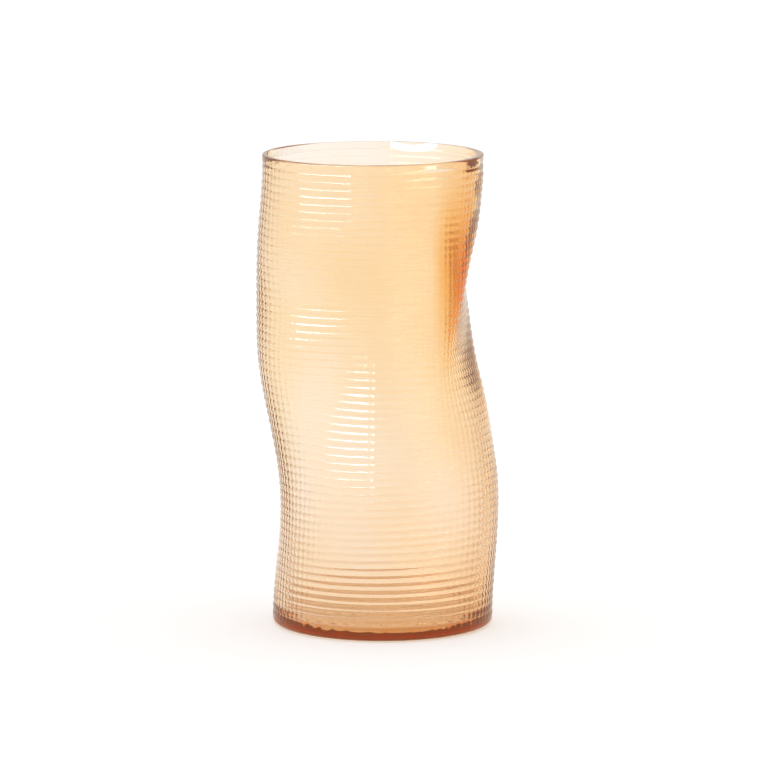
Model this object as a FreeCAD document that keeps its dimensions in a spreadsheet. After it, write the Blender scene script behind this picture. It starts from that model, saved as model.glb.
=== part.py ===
# A tall cased glass vase: a cylinder blown in a textured mould, then bent and
# flattened with a paddle while it was hot. Two glasses are fused over their whole
# height: a thick, almost colourless casing outside, and a thin amber lining inside.
#
# Millimetres and degrees. +Z is up, and the origin is the centre of the flat foot.
# Azimuths turn from +X, the vase's right, to +Y, its back. The front is -Y.
import FreeCAD, Part
import math
import os

Vector = FreeCAD.Vector

doc = FreeCAD.newDocument("vase")
sheet = doc.addObject("Spreadsheet::Sheet", "sizes")

# alias, value, what it measures
SIZES = [
    ("vase_height", 300.0, "foot to lip"),
    ("foot_radius", 70.2, "outside, at the foot"),
    ("waist_radius", 69.6, "outside, at the waist"),
    ("shoulder_radius", 71.2, "outside, at the shoulder"),
    ("mouth_radius", 70.2, "outside, at the lip"),
    ("waist_height", 65.0, ""),
    ("shoulder_height", 215.0, ""),
    ("foot_rounding", 4.5, "outer edge of the foot"),
    ("lip_rounding", 1.0, "outer edge of the lip, melted round"),
    ("casing_floor", 3.5, "clear glass under the lining"),
    ("casing_foot_wall", 4.2, "clear glass, where the wall leaves the floor"),
    ("casing_belly_wall", 2.9, "clear glass, at the thinnest height"),
    ("casing_lip_wall", 3.3, "clear glass, at the lip"),
    ("casing_belly_height", 150.0, "where the casing is thinnest"),
    ("casing_offset", 0.6, "how far the casing is off centre"),
    ("casing_thick_azimuth", -15.0, "its thick side"),
    ("lining_floor", 0.5, "amber glass on the floor"),
    ("lining_foot_wall", 0.36, "amber glass, where the wall leaves the floor"),
    ("lining_belly_wall", 0.24, "amber glass, where it was stretched thinnest"),
    ("lining_shoulder_wall", 0.46, "amber glass, at the shoulder"),
    ("lining_lip_wall", 0.42, "amber glass, at the lip"),
    ("lining_belly_height", 68.0, "where it is thinnest"),
    ("lining_unevenness", 0.48, "share by which its thick side is over the mean and its thin side under"),
    ("lining_thick_azimuth", -46.0, "its thick side"),
    ("lining_lip_rounding", 0.2, "inner edge of the lip, melted round"),
    # where the paddle's flat drew the amber together into a thick fold
    ("fold_azimuth", -34.0, "its middle"),
    ("fold_height", 232.0, "its middle"),
    ("fold_depth", 2.6, "amber glass that it adds"),
    ("fold_half_width", 14.5, "degrees"),
    ("fold_half_height", 40.0, ""),
    ("inner_corner", 9.0, "rounding between the inside's wall and floor"),
    # the centre line leans one way low down and the other way higher up
    ("low_bend_height", 78.0, ""),
    ("low_bend_x", 4.3, ""),
    ("low_bend_y", -3.0, ""),
    ("high_bend_height", 186.0, ""),
    ("high_bend_x", -9.2, ""),
    ("high_bend_y", 3.0, ""),
    ("neck_height", 240.0, ""),
    ("neck_x", -9.7, ""),
    ("neck_y", 2.5, ""),
    ("mouth_x", -6.0, ""),
    ("mouth_y", 0.0, ""),
    # the side was laid on the paddle: a flat that turns about the vase as it rises
    ("flat_azimuth", -6.0, "the way it faces at its own height"),
    ("flat_height", 200.0, "its middle"),
    ("flat_reach", 67.0, "half its length"),
    ("flat_depth", 8.8, "how deep it cuts into the round"),
    ("flat_twist", 0.38, "degrees of turn for each millimetre up"),
    ("flat_edge", 24.0, "higher is a crisper edge, with no unit"),
    ("flat_clear", 14.0, "how far outside the round its plane lies where it has faded out"),
]

# Soft oval hollows made with the paddle's edge. Azimuth and height of the middle,
# depth, half length, half width, and the long axis's lean above the horizontal.
HOLLOWS = {
    "front": (-114.0, 150.0, 6.5, 44.0, 17.0, 58.0),
    "brow": (-120.0, 213.0, 4.2, 30.0, 17.0, 15.0),
    "back": (112.0, 118.0, 5.5, 44.0, 20.0, 62.0),
    "shoulder": (146.0, 236.0, 3.5, 34.0, 22.0, 35.0),
}
HOLLOW_FIELDS = ("azimuth", "height", "depth", "length", "width", "lean")

RINGS = 24  # sections that each surface is lofted through
RING_POINTS = 48  # points of each section
OVERRUN = 8.0  # how far the inner forms run on above the lip
ROUNDING_SHARE = 0.8  # most of a wall's thinnest place that a rounding may take


def fill_sheet():
    rows = list(SIZES)
    for hollow, values in HOLLOWS.items():
        for field, value in zip(HOLLOW_FIELDS, values):
            rows.append((f"{hollow}_hollow_{field}", value, ""))
    for row, (alias, value, note) in enumerate(rows, 1):
        sheet.set(f"A{row}", alias)
        sheet.set(f"B{row}", str(value))
        sheet.set(f"C{row}", note)
        sheet.setAlias(f"B{row}", alias)
    doc.recompute()


def size(alias):
    return float(sheet.get(alias))


# ---- the outside surface ----


def eased(knots, height):
    """Level at each (height, value) knot, and a half cosine wave from one to the next."""
    for (low, start), (high, end) in zip(knots, knots[1:]):
        if height <= high:
            share = (1 - math.cos(math.pi * max(height - low, 0) / (high - low))) / 2
            return start + (end - start) * share
    return knots[-1][1]


def centre(height):
    """Where the centre line is at a height, as (x, y)."""
    heights = (0, size("low_bend_height"), size("high_bend_height"), size("neck_height"), size("vase_height"))
    along_x = (0, size("low_bend_x"), size("high_bend_x"), size("neck_x"), size("mouth_x"))
    along_y = (0, size("low_bend_y"), size("high_bend_y"), size("neck_y"), size("mouth_y"))
    return eased(list(zip(heights, along_x)), height), eased(list(zip(heights, along_y)), height)


def round_radius(height):
    heights = (0, size("waist_height"), size("shoulder_height"), size("vase_height"))
    radii = (size("foot_radius"), size("waist_radius"), size("shoulder_radius"), size("mouth_radius"))
    return eased(list(zip(heights, radii)), height)


def flattened(azimuth, height, radius):
    """The round and the flat's plane joined as 1/r^n = 1/round^n + 1/plane^n."""
    above = height - size("flat_height")
    strength = math.exp(-((above / size("flat_reach")) ** 4))
    plane = radius + size("flat_clear") - (size("flat_clear") + size("flat_depth")) * strength
    facing = math.cos(math.radians(azimuth - size("flat_azimuth") - size("flat_twist") * above))
    if facing <= 0:
        return radius
    edge = size("flat_edge")
    return radius * (1 + (radius * facing / plane) ** edge) ** (-1 / edge)


def hollow_depth(hollow, azimuth, height, radius):
    """A Gaussian oval on the unrolled wall, its long axis leaning."""
    field = {name: size(f"{hollow}_hollow_{name}") for name in HOLLOW_FIELDS}
    around = math.radians((azimuth - field["azimuth"] + 180) % 360 - 180) * radius
    above = height - field["height"]
    lean = math.radians(field["lean"])
    along = (around * math.cos(lean) + above * math.sin(lean)) / field["length"]
    across = (above * math.cos(lean) - around * math.sin(lean)) / field["width"]
    return field["depth"] * math.exp(-(along**2 + across**2) / 2)


def outside(azimuth, height):
    """A point of the outside surface. Above the lip it goes straight up."""
    level = min(height, size("vase_height"))
    radius = round_radius(level)
    reach = flattened(azimuth, level, radius)
    for hollow in HOLLOWS:
        reach -= hollow_depth(hollow, azimuth, level, radius)
    x, y = centre(level)
    turn = math.radians(azimuth)
    return Vector(x + reach * math.cos(turn), y + reach * math.sin(turn), height)


# ---- how thick the glass is ----


def fold_wall(azimuth, height):
    """The doubled amber glass, which takes its room from the casing."""
    across = ((azimuth - size("fold_azimuth") + 180) % 360 - 180) / size("fold_half_width")
    along = (min(height, size("vase_height")) - size("fold_height")) / size("fold_half_height")
    return size("fold_depth") * math.exp(-(across**4) - along**2)


def casing_wall(azimuth, height):
    knots = [
        (size("casing_floor"), size("casing_foot_wall")),
        (size("casing_belly_height"), size("casing_belly_wall")),
        (size("vase_height"), size("casing_lip_wall")),
    ]
    off_centre = math.cos(math.radians(azimuth - size("casing_thick_azimuth")))
    return eased(knots, height) + size("casing_offset") * off_centre - fold_wall(azimuth, height)


def lining_wall(azimuth, height):
    knots = [
        (size("casing_floor"), size("lining_foot_wall")),
        (size("lining_belly_height"), size("lining_belly_wall")),
        (size("shoulder_height"), size("lining_shoulder_wall")),
        (size("vase_height"), size("lining_lip_wall")),
    ]
    off_centre = size("lining_unevenness") * math.cos(math.radians(azimuth - size("lining_thick_azimuth")))
    return eased(knots, height) * (1 + off_centre) + fold_wall(azimuth, height)


def no_wall(azimuth, height):
    return 0


def both_walls(azimuth, height):
    return casing_wall(azimuth, height) + lining_wall(azimuth, height)


# ---- the forms, as features ----


def ring(name, height, wall):
    """A closed section at a height, moved in from the outside by the wall's thickness."""
    # every ring has the same even knots, so that a loft adds none of its own
    knots = [number / RING_POINTS for number in range(RING_POINTS + 1)]
    points = []
    step = 360 / RING_POINTS
    for number in range(RING_POINTS):
        azimuth = number * step
        tangent = outside(azimuth + step / 2, height) - outside(azimuth - step / 2, height)
        outward = tangent.cross(Vector(0, 0, 1)).normalize()
        points.append(outside(azimuth, height) - outward * wall(azimuth, height))
    curve = Part.BSplineCurve()
    curve.interpolate(Points=points, PeriodicFlag=True, Parameters=knots)
    section = doc.addObject("Part::Feature", name)
    section.Shape = Part.Wire([curve.toShape()])
    return section


def form(name, bottom, top, wall):
    """A solid between two heights whose side is the outside, moved in by the wall."""
    heights = [bottom + (top - bottom) * number / (RINGS - 1) for number in range(RINGS)]
    loft = doc.addObject("Part::Loft", name)
    loft.Sections = [ring(f"{name}_ring_{number}", height, wall) for number, height in enumerate(heights)]
    loft.Solid = True
    doc.recompute()
    return loft


def rounded(name, base, height, radius):
    """Rounds the edges that lie level at a height."""
    edges = []
    for number, edge in enumerate(base.Shape.Edges, 1):
        if max(abs(edge.BoundBox.ZMin - height), abs(edge.BoundBox.ZMax - height)) < 0.001:
            edges.append((number, radius, radius))
    fillet = doc.addObject("Part::Fillet", name)
    fillet.Base = base
    fillet.Edges = edges
    doc.recompute()
    return fillet


def cut(name, base, tool):
    result = doc.addObject("Part::Cut", name)
    result.Base = base
    result.Tool = tool
    doc.recompute()
    return result


def make_outer_form():
    blank = form("outer_form", 0, size("vase_height"), no_wall)
    footed = rounded("outer_form_footed", blank, 0, size("foot_rounding"))
    thinnest = size("casing_lip_wall") - size("casing_offset")
    radius = min(size("lip_rounding"), thinnest * ROUNDING_SHARE)
    return rounded("outer_form_lipped", footed, size("vase_height"), radius)


def make_well():
    """The space inside the casing, which the lining fills."""
    blank = form("well", size("casing_floor"), size("vase_height") + OVERRUN, casing_wall)
    return rounded("well_rounded", blank, size("casing_floor"), size("inner_corner") + size("lining_foot_wall"))


def make_cavity():
    """The space inside the lining, which holds the water."""
    floor = size("casing_floor") + size("lining_floor")
    blank = form("cavity", floor, size("vase_height") + OVERRUN, both_walls)
    return rounded("cavity_rounded", blank, floor, size("inner_corner"))


def make_space_above():
    """Everything above the lip."""
    box = doc.addObject("Part::Box", "space_above")
    for side in ("Length", "Width"):
        box.setExpression(side, "sizes.mouth_radius * 4")
    box.Height = OVERRUN * 2
    box.setExpression("Placement.Base.x", "-sizes.mouth_radius * 2")
    box.setExpression("Placement.Base.y", "-sizes.mouth_radius * 2")
    box.setExpression("Placement.Base.z", "sizes.vase_height")
    doc.recompute()
    return box


# ---- the two glasses ----


def make_casing(outer_form, well):
    return cut("clear_casing", outer_form, well)


def make_lining(well, cavity):
    shell = cut("lining_shell", cut("lining_blank", well, make_space_above()), cavity)
    inner_edge = []
    for number, edge in enumerate(shell.Shape.Edges, 1):
        box = edge.BoundBox
        level = max(abs(box.ZMin - size("vase_height")), abs(box.ZMax - size("vase_height"))) < 0.001
        inner_edge.append((box.DiagonalLength, number) if level else (math.inf, number))
    thinnest = size("lining_lip_wall") * (1 - size("lining_unevenness"))
    radius = min(size("lining_lip_rounding"), thinnest * ROUNDING_SHARE)
    lining = doc.addObject("Part::Fillet", "amber_lining")
    lining.Base = shell
    lining.Edges = [(min(inner_edge)[1], radius, radius)]
    doc.recompute()
    return lining


def check(nodes):
    for thing in doc.Objects:
        if "Invalid" in thing.State or "Error" in thing.State:
            raise RuntimeError(f"{thing.Name} failed: {thing.State}")
    for node in nodes:
        shape = node.Shape
        if shape.isNull() or not shape.isValid() or len(shape.Solids) != 1:
            raise RuntimeError(f"{node.Label} isn't one valid solid")


def export(nodes):
    os.makedirs("parts", exist_ok=True)
    for node in nodes:
        node.Shape.exportStep(f"parts/{node.Label}.step")
        print(f"{node.Label}: {node.Shape.Volume / 1000:.1f} cm3")


fill_sheet()
well_form = make_well()
nodes = [make_casing(make_outer_form(), well_form), make_lining(well_form, make_cavity())]
check(nodes)
export(nodes)
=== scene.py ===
import math
import bpy
import mathutils
from mathutils.bvhtree import BVHTree
import numpy as np
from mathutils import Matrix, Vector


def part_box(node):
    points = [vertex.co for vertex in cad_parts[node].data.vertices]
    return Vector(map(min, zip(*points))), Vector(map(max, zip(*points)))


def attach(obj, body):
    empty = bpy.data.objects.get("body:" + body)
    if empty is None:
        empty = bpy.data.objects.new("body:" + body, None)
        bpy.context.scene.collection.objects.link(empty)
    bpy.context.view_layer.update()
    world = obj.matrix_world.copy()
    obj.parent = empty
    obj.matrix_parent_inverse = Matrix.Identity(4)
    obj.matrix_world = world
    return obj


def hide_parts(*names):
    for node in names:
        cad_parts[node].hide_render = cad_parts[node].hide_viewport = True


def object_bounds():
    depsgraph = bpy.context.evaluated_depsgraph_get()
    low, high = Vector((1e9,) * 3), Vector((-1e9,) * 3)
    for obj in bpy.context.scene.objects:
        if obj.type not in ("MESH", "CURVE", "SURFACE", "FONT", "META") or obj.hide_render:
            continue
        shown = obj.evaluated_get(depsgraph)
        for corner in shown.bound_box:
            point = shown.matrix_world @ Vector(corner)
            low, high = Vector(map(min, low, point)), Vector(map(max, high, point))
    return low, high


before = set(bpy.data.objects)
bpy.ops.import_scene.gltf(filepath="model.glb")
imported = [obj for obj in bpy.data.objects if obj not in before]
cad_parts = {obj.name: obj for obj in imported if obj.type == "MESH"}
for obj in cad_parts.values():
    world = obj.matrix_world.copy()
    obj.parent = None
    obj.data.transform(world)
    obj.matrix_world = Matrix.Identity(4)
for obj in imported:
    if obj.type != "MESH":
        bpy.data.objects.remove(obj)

# A cased glass vase: thick clear glass with a pressed waffle relief outside, and a
# thin amber lining inside. Metres, as the frame is: +Z up, the front is -Y.

cadLow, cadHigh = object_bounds()
scene = bpy.context.scene
mm = 0.001


wallFit = dict(
    columns=180,       # where the CAD wall is probed, around
    rows=90,           # and up
    harmonics=26,      # waves kept around
    degree=20,         # of the polynomials up the wall
)


def probeWall(name, fromOutside, azimuths, heights):
    # the CAD wall's radius at each height and azimuth, by level rays at the centre line
    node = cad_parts[name]
    tree = BVHTree.FromPolygons([v.co for v in node.data.vertices],
                                [tuple(p.vertices) for p in node.data.polygons])
    start, sign = (0.2, -1) if fromOutside else (0, 1)
    radius = np.empty((len(heights), len(azimuths)))
    for row, height in enumerate(heights):
        for column, azimuth in enumerate(azimuths):
            ray = mathutils.Vector((math.cos(azimuth), math.sin(azimuth), 0))
            hit = tree.ray_cast(ray * start + mathutils.Vector((0, 0, height)), ray * sign)
            radius[row, column] = hit[0].xy.length
    return radius


def upTerms(height, low, high):
    # Chebyshev polynomials of the height
    span = np.clip((height - low) / (high - low) * 2 - 1, -1, 1)
    return np.cos(np.arange(wallFit["degree"] + 1) * np.arccos(span)[:, None])


def aroundTerms(azimuth):
    # 1, cos(k azimuth) and sin(k azimuth)
    k = np.arange(1, wallFit["harmonics"] + 1) * azimuth[:, None]
    return np.hstack([np.ones((len(azimuth), 1)), np.cos(k), np.sin(k)])


def fitWall(name, fromOutside, low, high):
    # radius(azimuth, height) = sum over j and k of weight * T_j(height) * cos or sin(k azimuth):
    # the smooth surface nearest to the CAD wall's flat triangles
    azimuths = np.arange(wallFit["columns"]) / wallFit["columns"] * 2 * math.pi
    heights = low + (high - low) * (1 - np.cos(np.linspace(0, math.pi, wallFit["rows"]))) / 2
    probed = probeWall(name, fromOutside, azimuths, heights)
    around = aroundTerms(azimuths)
    alongRows = probed @ around / (around ** 2).sum(axis=0)
    weights = np.linalg.lstsq(upTerms(heights, low, high), alongRows, rcond=None)[0]
    miss = np.abs(upTerms(heights, low, high) @ weights @ around.T - probed)
    print(f"{name} wall fitted, off by {miss.mean() / mm:.3f} mm on average, {miss.max() / mm:.2f} at most")

    def radiusAt(azimuth, height):
        azimuth, height = np.broadcast_arrays(azimuth, height)
        up = upTerms(height.ravel(), low, high) @ weights
        return (up * aroundTerms(azimuth.ravel())).sum(axis=1).reshape(height.shape)

    return radiusAt


def closedSurface(name, x, y, z):
    # a grid of rows (first axis) and columns (second axis, closed round), with a pole
    # where the first and the last row have shrunk to a point
    rows, columns = x.shape
    inner = slice(1, rows - 1)
    points = np.stack([x[inner], y[inner], z[inner]], axis=-1).reshape(-1, 3)
    ends = [[x[0].mean(), y[0].mean(), z[0].mean()], [x[-1].mean(), y[-1].mean(), z[-1].mean()]]
    points = np.vstack([points, ends])
    first, last = len(points) - 2, len(points) - 1
    r = np.arange(rows - 3)[:, None] * columns
    c = np.arange(columns)[None, :]
    n = (c + 1) % columns
    quads = np.stack([r + c, r + n, r + columns + n, r + columns + c], axis=-1).reshape(-1, 4)
    c, n = c.ravel(), n.ravel()
    top = (rows - 3) * columns
    startFan = np.stack([n, c, np.full(columns, first)], axis=-1)
    endFan = np.stack([top + c, top + n, np.full(columns, last)], axis=-1)
    mesh = bpy.data.meshes.new(name)
    mesh.from_pydata(points, [], quads.tolist() + startFan.tolist() + endFan.tolist())
    mesh.shade_smooth()
    mesh.update()
    piece = bpy.data.objects.new(name, mesh)
    scene.collection.objects.link(piece)
    return piece


def linear(hexColor):
    # an sRGB hex colour as the linear values that Blender's sockets take
    parts = [int(hexColor[i:i + 2], 16) / 255 for i in (1, 3, 5)]
    return [p / 12.92 if p <= 0.04045 else ((p + 0.055) / 1.055) ** 2.4 for p in parts] + [1]


def addNode(tree, kind, settings=None, links=None):
    # adds a node, sets its attributes or its sockets, and links its inputs
    node = tree.nodes.new(kind)
    for key, value in (settings or {}).items():
        if key in node.inputs:
            node.inputs[key].default_value = value
        else:
            setattr(node, key, value)
    for key, source in (links or {}).items():
        tree.links.new(source, node.inputs[key])
    return node


def newMaterial(name):
    material = bpy.data.materials.new(name)
    material.use_nodes = True
    material.node_tree.nodes.clear()
    return material, material.node_tree


vase = dict(
    footRounding=4.5 * mm,    # outer edge of the foot
    lipRounding=1.0 * mm,     # melted outer edge of the lip
    innerLipRounding=0.2 * mm,
    innerCorner=9 * mm,       # between the inside's wall and floor
    innerRows=20,             # rows of the inside wall's mesh
    floorRings=12,            # and rings of its floor's
    dimpleDepth=0.18 * mm,    # the five waves together stay inside the amber floor
    waviness=0.05 * mm,       # the blown inside is never quite smooth
)

relief = dict(
    rows=62,                  # pillows from foot to lip
    columns=90,               # pillows around
    rowDepth=0.56 * mm,       # the level grooves
    columnDepthLow=0.46 * mm, # the upright grooves, near the foot
    columnDepthHigh=0.14 * mm, # the upright grooves, near the lip
    grooveShare=0.45,         # how much of the depth is a narrow groove
    grooveSharpness=6,
    rise=3 * mm,              # how far the rows climb to the right, low on the body
    rowPhases=(0, 0.16, 0.37, 0.63, 0.84),
    columnPhases=(0, 0.33, 0.67),
)

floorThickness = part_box("amber_lining")[0].z
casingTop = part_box("clear_casing")[1].z


def cavityFloor():
    # the height of the level face that looks up inside the lining
    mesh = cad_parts["amber_lining"].data
    level = [p.center.z for p in mesh.polygons if p.normal.z > 0.999 and p.center.z < casingTop / 2]
    return sorted(level)[len(level) // 2]


def phases(count, steps):
    return (np.arange(count)[:, None] + np.array(steps)[None, :]).ravel()


def groove(phase):
    # 0 on a pillow's crest, 1 in the groove: a wide cosine and a narrow one together
    wave = np.abs(np.cos(np.pi * phase))
    share = relief["grooveShare"]
    return (1 - share) * wave ** 2 + share * wave ** relief["grooveSharpness"]


def handWave(azimuth, height):
    # long soft ripples of a hand-blown wall, as a sum of five sine waves
    waves = [(2, 31, 0.4), (3, -47, 1.9), (5, 62, 0.7), (7, -23, 2.6), (4, 88, 4.1)]
    total = sum(np.sin(k * azimuth + m * height + p) for k, m, p in waves)
    return total * vase["waviness"] / 2


def floorRipple(x, y):
    # the bottom was chilled by the mould and set unevenly, in dimples 7 to 10 mm across
    waves = [(520, 330, 0.3), (-430, 610, 2.2), (710, -260, 4.0), (190, 780, 5.1), (-880, -240, 1.2)]
    return sum(np.sin(a * x + b * y + p) for a, b, p in waves) * vase["dimpleDepth"] / 2


def surfaceNormals(x, y, z):
    # cross product of the grid's two tangents, the columns being closed round
    def around(v):
        return np.roll(v, -1, axis=1) - np.roll(v, 1, axis=1)
    tangent = np.stack([around(x), around(y), around(z)], axis=-1)
    upward = np.stack([np.gradient(v, axis=0) for v in (x, y, z)], axis=-1)
    normal = np.cross(tangent, upward)
    return normal / (np.linalg.norm(normal, axis=-1, keepdims=True) + 1e-12)


def reliefWall(radiusAt):
    # the outer wall from the foot's rounding to the lip's, with the grooves pressed in
    v = np.append(phases(relief["rows"], relief["rowPhases"]), relief["rows"])
    u = phases(relief["columns"], relief["columnPhases"])
    bottom, top = vase["footRounding"], casingTop - vase["lipRounding"]
    azimuth = (u / relief["columns"] * 2 * math.pi)[None, :]
    height = bottom + (top - bottom) * (v / relief["rows"])[:, None]
    share = (height - bottom) / (top - bottom)
    climb = relief["rise"] * np.sin(np.pi * np.clip(share * 2, 0, 1)) ** 2
    height = height + climb * np.cos(azimuth)
    azimuth = np.broadcast_to(azimuth, height.shape)
    radius = radiusAt(azimuth, height)
    x, y = radius * np.cos(azimuth), radius * np.sin(azimuth)
    normal = surfaceNormals(x, y, height)
    columnDepth = relief["columnDepthLow"] + (relief["columnDepthHigh"] - relief["columnDepthLow"]) * share
    fade = np.clip(0.5 + share * 60, 0, 1) * np.clip((1 - share) * 60, 0, 1)
    depth = relief["rowDepth"] * groove(v)[:, None] + columnDepth * groove(u)[None, :]
    depth = depth * fade
    moved = (x - normal[..., 0] * depth, y - normal[..., 1] * depth, height - normal[..., 2] * depth)
    return azimuth[0], *moved


def ringsOnWall(radiusAt, azimuth, heights, insets, low, high):
    # rings at the given heights, each moved towards the centre line by its inset
    heights, insets = np.array(heights)[:, None], np.array(insets)[:, None]
    a = np.broadcast_to(azimuth[None, :], (len(heights), len(azimuth)))
    radius = radiusAt(a, np.clip(heights, low, high)) - insets
    return radius * np.cos(a), radius * np.sin(a), np.broadcast_to(heights, a.shape)


def discRows(x, y, z, shares):
    # rings shrunk towards the middle of one ring, for a floor or a foot
    shares = np.array(shares)[:, None]
    cx, cy = x.mean(), y.mean()
    return cx + (x - cx) * shares, cy + (y - cy) * shares, z + 0 * x * shares


def stack(*blocks):
    return [np.vstack([block[i] for block in blocks]) for i in range(3)]


def quarter(steps):
    return np.linspace(0, math.pi / 2, steps)


outerTop = casingTop - 2 * mm          # the walls are read up to just under the lip's roundings
cavityTop = casingTop - 0.4 * mm
outerWall = fitWall("clear_casing", True, vase["footRounding"], outerTop)
interfaceFoot = floorThickness + vase["innerCorner"] + 1 * mm
interfaceWall = fitWall("amber_lining", True, interfaceFoot, casingTop - 0.1 * mm)
floorLevel = cavityFloor()
cornerTop = floorLevel + vase["innerCorner"]
cavityWall = fitWall("amber_lining", False, cornerTop, cavityTop)


def cavityRows(azimuth, inset, top, rows):
    # the inside: down the wall from the lip, round the corner, and in over the floor
    corner = vase["innerCorner"]
    heights = np.linspace(top, cornerTop, rows)
    turn = quarter(8)[1:]
    heights = np.append(heights, floorLevel + corner * (1 - np.sin(turn)))
    insets = np.append(np.zeros(rows), corner * (1 - np.cos(turn)))
    x, y, z = ringsOnWall(cavityWall, azimuth, heights, insets, cornerTop, cavityTop)
    scale = 1 + handWave(azimuth[None, :], z) / np.hypot(x, y)
    x, y = x * scale, y * scale
    scale = 1 + inset / np.hypot(x, y)
    x, y, z = x * scale, y * scale, z - inset * (z < cornerTop) * (cornerTop - z) / corner
    floor = discRows(x[-1], y[-1], z[-1], np.linspace(1, 0, vase["floorRings"] + 1)[1:])
    x, y, z = stack((x, y, z), floor)
    return x, y, z + floorRipple(x, y) * np.clip((cornerTop - z) / corner, 0, 1) ** 2


def makeCasing():
    # the whole wall of glass, from the relief to the surface that holds the water
    azimuth, *wall = reliefWall(outerWall)
    edge, lip, inner = vase["footRounding"], vase["lipRounding"], vase["innerLipRounding"]
    turn = quarter(6)[:0:-1]
    foot = ringsOnWall(outerWall, azimuth, edge * (1 - np.sin(turn)), edge * (1 - np.cos(turn)),
                       edge, outerTop)
    sole = discRows(foot[0][0], foot[1][0], foot[2][0], (0, 0.4, 0.8))
    turn = quarter(5)[1:]
    outerLip = ringsOnWall(outerWall, azimuth, casingTop - lip * (1 - np.sin(turn)),
                           lip * (1 - np.cos(turn)), edge, outerTop)
    turn = quarter(4)[:0:-1]
    innerLip = ringsOnWall(cavityWall, azimuth, casingTop - inner * (1 - np.sin(turn)),
                           -inner * (1 - np.cos(turn)), cornerTop, cavityTop)
    inside = cavityRows(azimuth, 0, casingTop - inner, vase["innerRows"])
    casing = closedSurface("casing", *stack(sole, foot, wall, outerLip, innerLip, inside))
    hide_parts("clear_casing")
    return casing


def makeLining():
    # the amber glass, a closed shell meant to lie just under the inside surface. Its rows are
    # closer than the casing's there, so where the wall bends it stands out by up to about 0.5 mm
    azimuth = np.arange(lining["columns"]) / lining["columns"] * 2 * math.pi
    corner, inset = vase["innerCorner"] + 0.5 * mm, lining["inset"]
    low, high = floorThickness + corner, casingTop - vase["innerLipRounding"] - inset
    turn = quarter(8)[:0:-1]
    rounding = floorThickness + corner * (1 - np.sin(turn))
    heights = np.append(rounding, np.linspace(low, high, lining["rows"]))
    insets = np.append(corner * (1 - np.cos(turn)), np.zeros(lining["rows"]))
    outer = ringsOnWall(interfaceWall, azimuth, heights, insets, low, high)
    bottom = discRows(outer[0][0], outer[1][0], outer[2][0], (0, 0.3, 0.6, 0.85))
    inside = cavityRows(azimuth, inset, high, lining["rows"])
    shell = closedSurface("lining", *stack(bottom, outer, inside))
    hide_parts("amber_lining")
    return shell


def clearGlass():
    # soda-lime glass, blown in a mould and flame polished: hard bright reflections,
    # with the faint orange-peel that hot glass keeps from the mould
    material, tree = newMaterial("flamePolishedSodaLimeGlass")
    place = addNode(tree, "ShaderNodeTexCoord")
    grain = addNode(tree, "ShaderNodeTexNoise", {"Scale": 1 / clear["peelSize"], "Detail": 2.0},
                    {"Vector": place.outputs["Object"]})
    bump = addNode(tree, "ShaderNodeBump", {"Strength": 1.0, "Distance": clear["peelDepth"]},
                   {"Height": grain.outputs[0]})
    glass = addNode(tree, "ShaderNodeBsdfPrincipled",
                    {"Base Color": linear(clear["color"]), "Roughness": clear["roughness"],
                     "IOR": clear["ior"], "Transmission Weight": 1.0},
                    {"Normal": bump.outputs["Normal"]})
    tint = addNode(tree, "ShaderNodeVolumeAbsorption",
                   {"Color": linear(clear["tint"]), "Density": clear["density"]})
    addNode(tree, "ShaderNodeOutputMaterial", None,
            {"Surface": glass.outputs[0], "Volume": tint.outputs[0]})
    return material


def amberGlass():
    # the same kind of glass, coloured amber right through. It is fused to the clear glass,
    # so light crosses into it unbent, and only the depth of glass gives the colour
    material, tree = newMaterial("amberOverlayGlass")
    glass = addNode(tree, "ShaderNodeBsdfPrincipled",
                    {"Base Color": linear("#ffffff"), "Roughness": 0.0, "IOR": 1.0,
                     "Transmission Weight": 1.0})
    tint = addNode(tree, "ShaderNodeVolumeAbsorption",
                   {"Color": linear(amber["color"]), "Density": amber["density"]})
    addNode(tree, "ShaderNodeOutputMaterial", None,
            {"Surface": glass.outputs[0], "Volume": tint.outputs[0]})
    return material


def makeFloor():
    turn = np.arange(96) / 96 * 2 * math.pi
    radius = studio["floorRadius"]
    level = 0 * turn + cadLow.z - studio["floorGap"]
    points = np.stack([radius * np.cos(turn), radius * np.sin(turn), level], axis=-1)
    mesh = bpy.data.meshes.new("studioFloor")
    mesh.from_pydata(points, [], [list(range(96))])
    floor = bpy.data.objects.new("studioFloor", mesh)
    scene.collection.objects.link(floor)
    # an opal acrylic sheet, lit from below
    material, tree = newMaterial("backlitOpalAcrylic")
    sheet = addNode(tree, "ShaderNodeBsdfPrincipled",
                    {"Base Color": linear(studio["floorColor"]), "Roughness": 1.0,
                     "Specular IOR Level": 0.0, "Emission Strength": studio["floorGlow"],
                     "Emission Color": linear("#ffffff")})
    addNode(tree, "ShaderNodeOutputMaterial", None, {"Surface": sheet.outputs[0]})
    mesh.materials.append(material)


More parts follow.
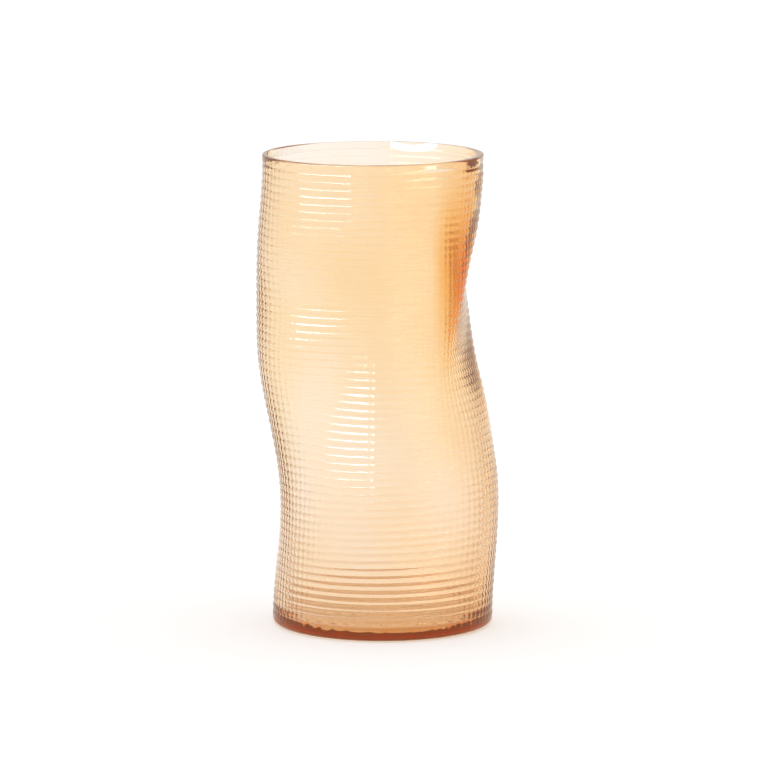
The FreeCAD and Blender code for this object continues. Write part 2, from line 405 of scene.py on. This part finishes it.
def makeSky():
    # a white tent that is open at the front, where there is a dim room with warm walls
    world = bpy.data.worlds.new("whiteTent")
    world.use_nodes = True
    tree = world.node_tree
    tree.nodes.clear()
    place = addNode(tree, "ShaderNodeTexCoord")
    split = addNode(tree, "ShaderNodeSeparateXYZ", None, {"Vector": place.outputs["Generated"]})
    depth = addNode(tree, "ShaderNodeMapRange",
                    {"interpolation_type": "SMOOTHSTEP", "From Min": studio["roomUpTo"],
                     "From Max": studio["tentFrom"]},
                    {"Value": split.outputs["Y"]})
    walls = addNode(tree, "ShaderNodeValToRGB", None, {"Fac": depth.outputs["Result"]})
    walls.color_ramp.elements[0].color = linear(studio["roomColor"])
    walls.color_ramp.elements[1].color = linear("#ffffff")
    light = addNode(tree, "ShaderNodeBackground", {"Strength": studio["tentLight"]},
                    {"Color": walls.outputs["Color"]})
    addNode(tree, "ShaderNodeOutputWorld", None, {"Surface": light.outputs[0]})
    scene.world = world


def makeLamp(name, place, target, width, height, watts):
    lamp = bpy.data.lights.new(name, "AREA")
    lamp.shape, lamp.size, lamp.size_y, lamp.energy = "RECTANGLE", width, height, watts
    thing = bpy.data.objects.new(name, lamp)
    thing.location = place
    aim = mathutils.Vector(target) - mathutils.Vector(place)
    thing.rotation_euler = aim.to_track_quat("-Z", "Y").to_euler()
    thing.visible_diffuse = False       # barn doors keep it off the table
    scene.collection.objects.link(thing)


def makeCamera():
    camera = bpy.data.objects.new("camera", bpy.data.cameras.new("camera"))
    camera.data.lens, camera.data.sensor_width = view["lens"], view["sensor"]
    camera.location = (0, -view["distance"], view["height"])
    camera.rotation_euler = (math.radians(90 - view["tilt"]), 0, 0)
    scene.collection.objects.link(camera)
    scene.camera = camera


view = dict(distance=3.567, height=0.706, tilt=8.8, lens=268, sensor=36)

studio = dict(
    floorRadius=30,
    floorGap=0.3 * mm,
    floorColor="#dcdcdc",
    floorGlow=0.41,
    roomUpTo=-0.95,       # the room shows up to here, and the tent fades in from here
    tentFrom=-0.35,
    roomColor="#c89f80",
    tentLight=1.0,
)

lining = dict(columns=240, rows=60, inset=0.03 * mm)
clear = dict(
    color="#ffffff",
    tint="#eca05a",           # a peach cast, deepest where the glass is thick
    density=47,
    ior=1.5,
    roughness=0.0,
    peelSize=6 * mm,
    peelDepth=0.02 * mm,
)
amber = dict(color="#fad42f", density=500)

# how the grade maps three tones of red, green and blue
grades = (
    ((0.0, 0.18), (0.5, 0.565), (0.85, 0.862)),
    ((0.0, 0.03), (0.5, 0.475), (0.85, 0.844)),
    ((0.0, 0.00), (0.5, 0.410), (0.85, 0.840)),
)

makeCamera()
makeFloor()
makeSky()
makeLamp("stripLeft", (-1.56, -1.25, 1.10), (0, 0, 0.15), 2.3, 0.45, 46)
print("studio ready")

casing = makeCasing()
casing.data.materials.append(clearGlass())
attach(casing, "root")
print("casing made,", len(casing.data.polygons), "faces")

liningShell = makeLining()
liningShell.data.materials.append(amberGlass())
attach(liningShell, "root")
print("lining made,", len(liningShell.data.polygons), "faces")

scene.view_settings.view_transform = "Standard"

# a print grade that warms the shadows and leaves white alone
scene.view_settings.use_curve_mapping = True
grade = scene.view_settings.curve_mapping
for curve, (dark, middle, bright) in zip(grade.curves, grades):
    curve.points[0].location = dark
    curve.points.new(*middle)
    curve.points.new(*bright)
grade.update()
scene.cycles.max_bounces = 80
scene.cycles.transmission_bounces = 80
scene.cycles.transparent_max_bounces = 16
